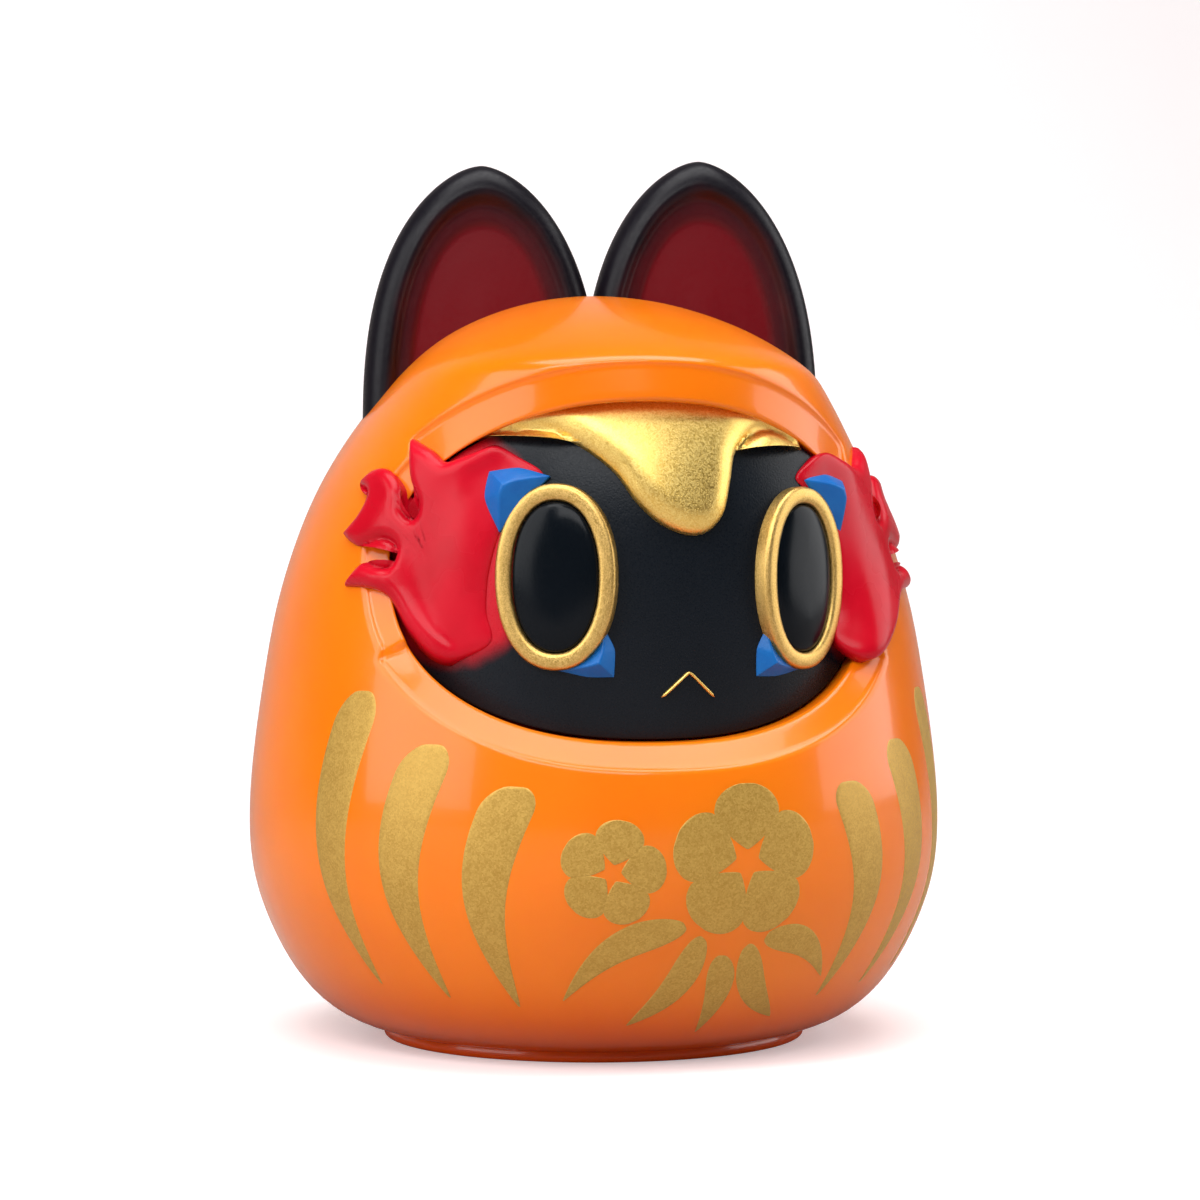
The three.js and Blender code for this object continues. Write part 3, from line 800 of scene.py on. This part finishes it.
def lay_flame_on(side, sign):
    def lay(plan, lift):
        along, z = sign * (plan[:, 0] - FLAME_SHIFT[side]), plan[:, 1]
        return flame_base(along, z) + normals_of(flame_base, along, z) * lift[:, None]
    return lay


flame_paint = red_paint()
flame_curve = closed_curve(FLAME)
for side, sign in SIDES:
    flame = relief(
        f"temple_flame_{side}", flame_curve, FLAME_CENTRE, lay_flame_on(side, sign), FLAME_HEIGHT,
        FLAME_EDGE, flame_paint, rings=30, shape=flame_shape, skirt=1.0,
    )
    settle(flame, f"flame_{side}")


# --------------------------------------------------
# Eyes. A raised gold rim round a smooth black dome, with two small blue corners beside each rim.
# --------------------------------------------------

EYE_X = 12.2
EYE_Z = 47.0
EYE_Y = -28.15
EYE_TURN = math.radians(30)
EYE_HALF_WIDTH = 5.85
EYE_HALF_HEIGHT = 8.8
EYE_SQUARE = 0.93
OVAL_POINTS = 120
RIM_BAND = 1.65
RIM_HEIGHT = 0.95
RIM_SECTION = [  # share of the band from its outside, height over the eye's plane as a share
    (0.0, -2.2), (0.0, 0.45), (0.04, 0.72), (0.13, 0.9), (0.3, 0.98), (0.7, 1.0), (0.87, 0.92),
    (0.96, 0.7), (1.0, 0.35), (1.0, -2.2),
]
DOME_HEIGHT = 0.8
DOME_EDGE = 4.0
DOME_GAP = 0.02
DOME_SEAT = 0.4
ACCENTS = {  # corners on the front view; 1 at a sharp one
    "upper": [
        (17.5, 56.9, 1), (15.1, 57.2), (12.6, 56.4, 1),
        (14.8, 54.0), (16.9, 51.2, 1), (18.0, 54.4),
    ],
    "lower": [
        (8.1, 42.2, 1), (7.1, 40.2), (7.1, 37.6, 1),
        (9.4, 37.6), (12.0, 38.2, 1), (9.6, 40.0),
    ],
}
ACCENT_HEIGHT = 1.5
ACCENT_EDGE = 1.7
ACCENT_SEAT = {"upper": 0.5, "lower": 0.05}


def gold_paint(name, dark, bright, roughness):
    """Metallic gold: fine flakes over a slow cloud of brighter and darker paint."""
    material, tree, shader = new_material(name)
    metal = place_group(tree, flake, Flake_Scale=9000.0, Cloud_Scale=420.0)
    spark = math_node(tree, "MULTIPLY", metal.outputs["Speckle"], 0.7)
    tone = math_node(tree, "ADD", math_node(tree, "MULTIPLY", metal.outputs["Cloud"], 0.3), spark)
    colour = mix_colour(tree, tone, dark, bright)
    shine = ramp_between(tree, metal.outputs["Speckle"], 0.0, 1.0, roughness - 0.06, roughness + 0.08)
    feed(tree, shader, Base_Color=colour, Roughness=shine, Metallic=1.0)
    bump(tree, shader, metal.outputs["Speckle"], 0.000012, 0.5)
    return material


def black_gloss():
    material, tree, shader = new_material("black_gloss")
    grain = place_group(tree, cast_grain, Peel_Scale=5200.0, Mottle_Scale=200.0)
    colour = mix_colour(tree, grain.outputs["Mottle"], (0.0015, 0.003, 0.005), (0.003, 0.005, 0.008))
    shine = ramp_between(tree, grain.outputs["Height"], 0.3, 0.7, 0.16, 0.22)
    feed(tree, shader, Base_Color=colour, Roughness=shine, Specular_IOR_Level=0.14)
    bump(tree, shader, grain.outputs["Height"], 0.00001, 0.3)
    return material


def blue_paint():
    material, tree, shader = new_material("blue_paint")
    grain = place_group(tree, cast_grain, Peel_Scale=4000.0, Mottle_Scale=500.0)
    colour = mix_colour(tree, grain.outputs["Mottle"], (0.001, 0.085, 0.36), (0.003, 0.16, 0.50))
    feed(tree, shader, Base_Color=colour, Roughness=0.38, Specular_IOR_Level=0.3)
    bump(tree, shader, grain.outputs["Height"], 0.00003, 0.6)
    return material


def lay_on_face(sign, seat=0.0):
    """Lays a plan of the front view on the face plate, raised by seat."""
    def lay(plan, lift):
        base = on_face(plan[:, 0], plan[:, 1])
        placed = base + normals_of(on_face, plan[:, 0], plan[:, 1]) * (lift + seat)[:, None]
        placed[:, 0] *= sign
        return placed
    return lay


def lay_on_eye(sign, seat=0.0):
    """The eye's plane: it is turned outwards, and the plan is measured from its middle."""
    def lay(plan, lift):
        lift = lift + seat
        cos, sin = math.cos(EYE_TURN), math.sin(EYE_TURN)
        x = EYE_X + plan[:, 0] * cos + lift * sin
        y = EYE_Y + plan[:, 0] * sin - lift * cos
        return as_points(sign * x, y, EYE_Z + plan[:, 1])
    return lay


def oval(inset):
    """The eye's squarish oval on its own plane, set in by inset."""
    around = np.linspace(0, 2 * math.pi, OVAL_POINTS, endpoint=False)
    across, up = np.cos(around), np.sin(around)
    return np.stack([
        (EYE_HALF_WIDTH - inset) * np.sign(across) * np.abs(across) ** EYE_SQUARE,
        (EYE_HALF_HEIGHT - inset) * np.sign(up) * np.abs(up) ** EYE_SQUARE,
    ], -1)


def eye_rim(name, lay, material):
    rows = []
    for across, rise in RIM_SECTION + RIM_SECTION[:1]:
        plan = oval(across * RIM_BAND)
        rows.append(lay(plan, np.full(len(plan), rise * RIM_HEIGHT)))
    return build(name, rows, material)


relief_gold = gold_paint("gold_paint", (0.78, 0.48, 0.09), (1.0, 0.76, 0.26), 0.38)
ring_gold = gold_paint("ring_gold", (0.50, 0.30, 0.065), (0.82, 0.56, 0.20), 0.40)
eye_black = black_gloss()
accent_blue = blue_paint()
for side, sign in SIDES:
    rim = eye_rim(f"eye_rim_{side}", lay_on_eye(sign), ring_gold)
    settle(rim, f"eye_ring_{side}")
    dome = relief(
        f"eye_dome_{side}_gloss", oval(RIM_BAND + DOME_GAP), (0, 0), lay_on_eye(sign, DOME_SEAT),
        DOME_HEIGHT, DOME_EDGE, eye_black, rings=20, skirt=1.8,
    )
    settle(dome, f"eye_dome_{side}")
    for place, corners in ACCENTS.items():
        middle = np.mean([corner[:2] for corner in corners], axis=0)
        accent = relief(
            f"blue_corner_{place}_{side}", closed_curve(corners, 12, 0.35), middle,
            lay_on_face(sign, ACCENT_SEAT[place]), ACCENT_HEIGHT, ACCENT_EDGE, accent_blue,
            roof=True, rings=14, skirt=0.8,
        )
        settle(accent, f"eye_accent_{place}_{side}")


# --------------------------------------------------
# Forehead drip and mouth. A gold patch hangs from under the brim as one thick drop, and the mouth
# is a fine raised gold line like a roof.
# --------------------------------------------------

DRIP_HEIGHT = 1.7
DRIP_EDGE = 2.6
DRIP_CENTRE = (0.0, 58.6)
DRIP = [  # corners on the front view; 1 at a sharp one
    (-18.8, 60.3, 1), (-13, 60.7), (-10.2, 59.5), (-7.1, 56.9), (-5.2, 54.1), (-3.1, 52.1),
    (-0.6, 51), (1.6, 51.2), (3.3, 52.9), (4.2, 56), (4.9, 58.6), (6.6, 60.4),
    (9, 60.9), (12.8, 59.4, 1), (9.6, 63), (4, 64.2), (-4, 64.4), (-12, 63.2),
]
MOUTH_Z = 38.0
MOUTH_HALF_WIDTH = 2.6
MOUTH_DROP = 2.4
MOUTH_LINE = 0.17
MOUTH_POINTS = 41
MOUTH_TAPER = 14
MOUTH_PEAK = 0.04
MOUTH_SECTION = ((-1, -0.2), (-0.8, 0.2), (0, 0.38), (0.8, 0.2), (1, -0.2))  # across, up
MOUTH_ACROSS = (0.68, 0.73)  # the way across one arm of the line

drip = relief(
    "gold_drip", closed_curve(DRIP, 10), DRIP_CENTRE, lay_on_face(1), DRIP_HEIGHT, DRIP_EDGE,
    relief_gold, rings=26,
)
settle(drip, "forehead_drip")


def mouth():
    """A raised line of two arms that meet in a slightly rounded peak."""
    along = np.linspace(-1, 1, MOUTH_POINTS)
    x = along * MOUTH_HALF_WIDTH
    z = MOUTH_Z - MOUTH_DROP * (np.sqrt(along ** 2 + MOUTH_PEAK ** 2) - MOUTH_PEAK)
    lay = lay_on_face(1)
    taper = np.clip((1 - np.abs(along)) * MOUTH_TAPER, 0.25, 1)
    rows = []
    for across, rise in MOUTH_SECTION:
        shift = across * MOUTH_LINE * taper
        side_step = np.sign(along) * shift * MOUTH_ACROSS[0]
        plan = np.stack([x + side_step, z + shift * MOUTH_ACROSS[1]], -1)
        rows.append(lay(plan, np.full(len(plan), float(rise)) * taper))
    return build("mouth_line", np.array(rows).transpose(1, 0, 2), relief_gold)


settle(mouth(), "mouth_inlay")


# --------------------------------------------------
# Brushwork. Gold paint sprayed through masks: three tapering strokes on each side of the belly, and
# plum blossoms over brush leaves in the middle. Each stroke is a film a few hundredths thick.
# --------------------------------------------------

STROKE_LIFT = 0.035
STROKE_SINK = 0.05
STROKE_WRAP = 35.0
STROKE_GRID = (15, 90)
CAST_FROM = 80.0
CAST_REACH = 200.0
PATTERN_TURN = 1.0
SIDE_STROKES = [  # start and end as degrees from the front and height, width, bend
    ((55.3, 36.4), (55.9, 7.8), 5.9, 3.2),
    ((41.2, 31.5), (41.8, 7.0), 6.0, 3.3),
    ((27.4, 27.7), (29.0, 6.4), 5.8, 2.7),
]


def arithmetic(tree):
    """Short names for one tree's sums: add, take, times and over."""
    def node_for(operation):
        return lambda first, second: math_node(tree, operation, first, second)
    return [node_for(operation) for operation in ("ADD", "SUBTRACT", "MULTIPLY", "DIVIDE")]


def brush_width(tree, size, along):
    """Half the stroke's width along it: a round head, then a long tapering tail."""
    _, take, times, _ = arithmetic(tree)
    head = math_node(tree, "DIVIDE", along, size["Head"], clamp=True)
    head_gap = take(1.0, head)
    head_round = math_node(tree, "SQRT", take(1.0001, times(head_gap, head_gap)))
    past_head = math_node(
        tree, "DIVIDE", take(along, size["Head"]), take(1.0, size["Head"]), clamp=True,
    )
    tail_gap = take(1.0, math_node(tree, "POWER", past_head, 1.6))
    tail = math_node(tree, "POWER", tail_gap, size["Tail Power"])
    return times(times(head_round, tail), times(size["Width"], 0.5))


def brush_place(tree, size, along, offset):
    """The angle round the body and the height, in metres, of a place on the bent stroke."""
    add, take, times, over = arithmetic(tree)
    run_across = take(size["End Across"], size["Start Across"])
    run_up = take(size["End Height"], size["Start Height"])
    run = math_node(tree, "SQRT", add(times(run_across, run_across), times(run_up, run_up)))
    bow = times(size["Bend"], math_node(tree, "SINE", times(along, math.pi)))
    sideways = add(offset, bow)
    go_across = take(times(along, run_across), times(sideways, over(run_up, run)))
    go_up = add(times(along, run_up), times(sideways, over(run_across, run)))
    angle = over(add(size["Start Across"], go_across), STROKE_WRAP)
    return angle, times(add(size["Start Height"], go_up), MM)


def cast_on_body(tree, body_piece, angle, height):
    """Where a ray from outside, level and towards the axis, meets the body."""
    _, _, times, _ = arithmetic(tree)
    sine = math_node(tree, "SINE", angle)
    cosine = math_node(tree, "COSINE", angle)
    start = tree.nodes.new("ShaderNodeCombineXYZ")
    feed(tree, start, X=times(sine, CAST_FROM * MM), Y=times(cosine, -CAST_FROM * MM), Z=height)
    aim = tree.nodes.new("ShaderNodeCombineXYZ")
    feed(tree, aim, X=times(sine, -1.0), Y=cosine)
    shape = tree.nodes.new("GeometryNodeObjectInfo")
    shape.transform_space = "ORIGINAL"
    feed(tree, shape, Object=body_piece)
    cast = tree.nodes.new("GeometryNodeRaycast")
    feed(
        tree, cast, Target_Geometry=shape.outputs["Geometry"], Source_Position=start.outputs[0],
        Ray_Direction=aim.outputs[0], Ray_Length=CAST_REACH * MM,
    )
    return cast


def film_place(tree, cast, across, along):
    """The film's place: lifted off the body, with its outermost row tucked into the skin."""
    _, take, times, _ = arithmetic(tree)
    rim_across = math_node(tree, "GREATER_THAN", math_node(tree, "ABSOLUTE", across), 0.97)
    rim_along = math_node(tree, "GREATER_THAN", math_node(tree, "ABSOLUTE", along), 0.495)
    rim = math_node(tree, "MAXIMUM", rim_across, rim_along)
    lift = take(STROKE_LIFT * MM, times(rim, (STROKE_LIFT + STROKE_SINK) * MM))
    rise = tree.nodes.new("ShaderNodeVectorMath")
    rise.operation = "SCALE"
    feed(tree, rise, Vector=cast.outputs["Hit Normal"], Scale=lift)
    top = tree.nodes.new("ShaderNodeVectorMath")
    tree.links.new(cast.outputs["Hit Position"], top.inputs[0])
    tree.links.new(rise.outputs[0], top.inputs[1])
    return top.outputs[0]


def brush_tree(body_piece, paint):
    """A brush stroke on the body: a tapering film between two places, bent to one side."""
    tree = bpy.data.node_groups.new("brush_stroke", "GeometryNodeTree")
    tree.interface.new_socket("Geometry", in_out="INPUT", socket_type="NodeSocketGeometry")
    add_inputs(tree, [
        ("Start Across", 0.0), ("Start Height", 20.0), ("End Across", 0.0), ("End Height", 10.0),
        ("Width", 5.0), ("Head", 0.12), ("Tail Power", 0.8), ("Bend", 0.0),
    ])
    tree.interface.new_socket("Geometry", in_out="OUTPUT", socket_type="NodeSocketGeometry")
    size = tree.nodes.new("NodeGroupInput").outputs
    outlet = tree.nodes.new("NodeGroupOutput")
    grid = tree.nodes.new("GeometryNodeMeshGrid")
    columns, rows = STROKE_GRID
    feed(tree, grid, Size_X=1.0, Size_Y=1.0, Vertices_X=columns, Vertices_Y=rows)
    place = tree.nodes.new("ShaderNodeSeparateXYZ")
    tree.links.new(tree.nodes.new("GeometryNodeInputPosition").outputs[0], place.inputs[0])
    add, _, times, _ = arithmetic(tree)
    across = times(place.outputs["X"], 2.0)
    along = add(place.outputs["Y"], 0.5)
    offset = times(brush_width(tree, size, along), across)
    cast = cast_on_body(tree, body_piece, *brush_place(tree, size, along, offset))
    film = film_place(tree, cast, across, place.outputs["Y"])
    move = tree.nodes.new("GeometryNodeSetPosition")
    feed(tree, move, Geometry=grid.outputs["Mesh"], Position=film)
    real = tree.nodes.new("GeometryNodeRealizeInstances")
    feed(tree, real, Geometry=move.outputs["Geometry"])
    dress = tree.nodes.new("GeometryNodeSetMaterial")
    feed(tree, dress, Geometry=real.outputs["Geometry"], Material=paint)
    feed(tree, outlet, Geometry=dress.outputs["Geometry"])
    return tree


def stroke(name, tree, start, end, width, head=0.12, tail=0.8, bend=0.0):
    """One stroke between two places, each a length round the body from the front and a height."""
    maker = place_in_scene(name + "_maker", bpy.data.meshes.new(name + "_maker"))
    modifier = maker.modifiers.new("stroke", "NODES")
    modifier.node_group = tree
    sizes = {
        "Start Across": start[0], "Start Height": start[1], "End Across": end[0], "End Height": end[1],
        "Width": width, "Head": head, "Tail Power": tail, "Bend": bend,
    }
    for item in tree.interface.items_tree:
        if item.in_out == "INPUT" and item.name in sizes:
            modifier[item.identifier] = float(sizes[item.name])
    graph = bpy.context.evaluated_depsgraph_get()
    mesh = bpy.data.meshes.new_from_object(maker.evaluated_get(graph))
    bpy.data.objects.remove(maker)
    middle = mesh.polygons[len(mesh.polygons) // 2]
    outwards = Vector((middle.center.x, middle.center.y, 0))
    if middle.normal.dot(outwards) < 0:
        mesh.flip_normals()
    mesh.polygons.foreach_set("use_smooth", [True] * len(mesh.polygons))
    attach(place_in_scene(name, mesh), "root")


def mask_gold():
    """Dull sprayed gold: flakes lie flat in a clear binder."""
    material, tree, shader = new_material("mask_gold")
    metal = place_group(tree, flake, Flake_Scale=6500.0, Cloud_Scale=700.0)
    spark = math_node(tree, "MULTIPLY", metal.outputs["Speckle"], 0.6)
    tone = math_node(tree, "ADD", math_node(tree, "MULTIPLY", metal.outputs["Cloud"], 0.4), spark)
    colour = mix_colour(tree, tone, (0.42, 0.235, 0.035), (0.66, 0.42, 0.10))
    shine = ramp_between(tree, metal.outputs["Speckle"], 0.0, 1.0, 0.42, 0.56)
    feed(tree, shader, Base_Color=colour, Roughness=shine, Metallic=0.55)
    return material


brush = brush_tree(body, mask_gold())
for side, sign in SIDES:
    for number, (start, end, width, bend) in enumerate(SIDE_STROKES, 1):
        ends = [
            (math.radians(sign * turned - PATTERN_TURN) * STROKE_WRAP, height)
            for turned, height in (start, end)
        ]
        stroke(f"side_stroke_{number}_{side}", brush, *ends, width, bend=sign * bend)

BLOSSOMS = [  # name, middle across and height, reach, turn of the first petal
    ("large", (4.2, 20.4), 7.4, 90),
    ("small", (-8.6, 19.6), 5.0, 78),
]
LEAVES = [  # start, end, width, bend
    ((-1.5, 14.6), (-13.6, 7.2), 3.4, -1.6),
    ((0.4, 13.4), (-6.6, 4.6), 3.4, 1.2),
    ((2.6, 11.6), (2.2, 3.6), 3.4, 0.6),
    ((5.0, 12.4), (11.6, 4.8), 3.4, -1.2),
    ((7.0, 13.2), (16.2, 8.6), 3.2, 1.4),
]
for name, (across, height), reach, first in BLOSSOMS:
    for number in range(5):
        lean = math.radians(first + 72 * number)
        tip = (across + reach * math.cos(lean), height + reach * math.sin(lean))
        root = (across + 0.16 * reach * math.cos(lean), height + 0.16 * reach * math.sin(lean))
        stroke(f"petal_{name}_{number + 1}", brush, tip, root, reach * 0.98, head=0.42, tail=0.9)
for number, (start, end, width, bend) in enumerate(LEAVES, 1):
    stroke(f"brush_leaf_{number}", brush, start, end, width, head=0.3, tail=0.9, bend=bend)


# --------------------------------------------------
# Stage, light and camera: a pale seamless sheet, and soft boxes overhead, on both sides, in front
# and at the upper left.
# --------------------------------------------------

CAMERA_TURN = math.radians(-17)
CAMERA_LIFT = math.radians(-0.3)
CAMERA_AWAY = 0.300
CAMERA_LENS = 86.0
CAMERA_AIM = Vector((0.0007, 0, 0.045))
SHEET_FRONT = -1.6
SHEET_BEND = 0.30
SHEET_RADIUS = 0.35
SHEET_TOP = 1.8
SHEET_HALF_WIDTH = 2.0
SOFT_BOXES = [  # name, place, height it aims at, width, height, power
    ("overhead_box", (0.0, -0.10, 0.66), 0.03, 0.62, 0.46, 4.3),
    ("front_box", (-0.18, -0.52, 0.38), 0.05, 0.44, 0.24, 1.7),
    ("upper_left_box", (-0.31, -0.29, 0.47), 0.05, 0.22, 0.12, 0.55),
    ("left_box", (-0.60, -0.16, 0.30), 0.04, 0.5, 0.55, 2.6),
    ("right_box", (0.60, -0.10, 0.28), 0.04, 0.5, 0.55, 2.3),
]


def seamless_sheet():
    """Paper that lies under the doll and curves up behind it; it looks whiter than it lights."""
    depth = [(SHEET_FRONT, 0.0), (SHEET_BEND, 0.0)]
    for angle in np.radians(range(9, 91, 9)):
        depth.append((
            SHEET_BEND + SHEET_RADIUS * math.sin(angle), SHEET_RADIUS - SHEET_RADIUS * math.cos(angle),
        ))
    depth.append((SHEET_BEND + SHEET_RADIUS, SHEET_TOP))
    points = [(x, y, z) for y, z in depth for x in (-SHEET_HALF_WIDTH, SHEET_HALF_WIDTH)]
    faces = [(2 * i, 2 * i + 1, 2 * i + 3, 2 * i + 2) for i in range(len(depth) - 1)]
    mesh = bpy.data.meshes.new("pale_sheet")
    mesh.from_pydata(points, [], faces)
    mesh.polygons.foreach_set("use_smooth", [True] * len(faces))
    material, tree, shader = new_material("pale_paper")
    sight = tree.nodes.new("ShaderNodeLightPath").outputs["Is Camera Ray"]
    paper = mix_colour(tree, sight, (0.44, 0.40, 0.385), (0.88, 0.815, 0.82))
    feed(
        tree, shader, Base_Color=paper, Roughness=0.9, Emission_Color=(1, 0.99, 0.995, 1),
        Emission_Strength=math_node(tree, "MULTIPLY", sight, 0.32),
    )
    mesh.materials.append(material)
    place_in_scene("pale_sheet", mesh)


def soft_box(name, place, aim_height, width, height, power):
    light = bpy.data.lights.new(name, "AREA")
    light.shape = "RECTANGLE"
    light.size = width
    light.size_y = height
    light.energy = power
    lamp = place_in_scene(name, light)
    lamp.location = place
    aim = Vector((0, 0, aim_height)) - Vector(place)
    lamp.rotation_euler = aim.to_track_quat("-Z", "Y").to_euler()


seamless_sheet()
for box in SOFT_BOXES:
    soft_box(*box)

world = bpy.data.worlds.new("studio")
world.use_nodes = True
sky = world.node_tree.nodes["Background"]
feed(world.node_tree, sky, Color=(1, 1, 1, 1), Strength=0.09)
bpy.context.scene.world = world
bpy.context.scene.view_settings.view_transform = "Standard"

lens = bpy.data.cameras.new("camera")
lens.lens = CAMERA_LENS
lens.sensor_width = 36
lens.clip_start = 0.01
viewer = place_in_scene("camera", lens)
away = Vector((
    math.sin(CAMERA_TURN) * math.cos(CAMERA_LIFT),
    -math.cos(CAMERA_TURN) * math.cos(CAMERA_LIFT),
    math.sin(CAMERA_LIFT),
))
viewer.location = CAMERA_AIM + away * CAMERA_AWAY
viewer.rotation_euler = (-away).to_track_quat("-Z", "Y").to_euler()
bpy.context.scene.camera = viewer
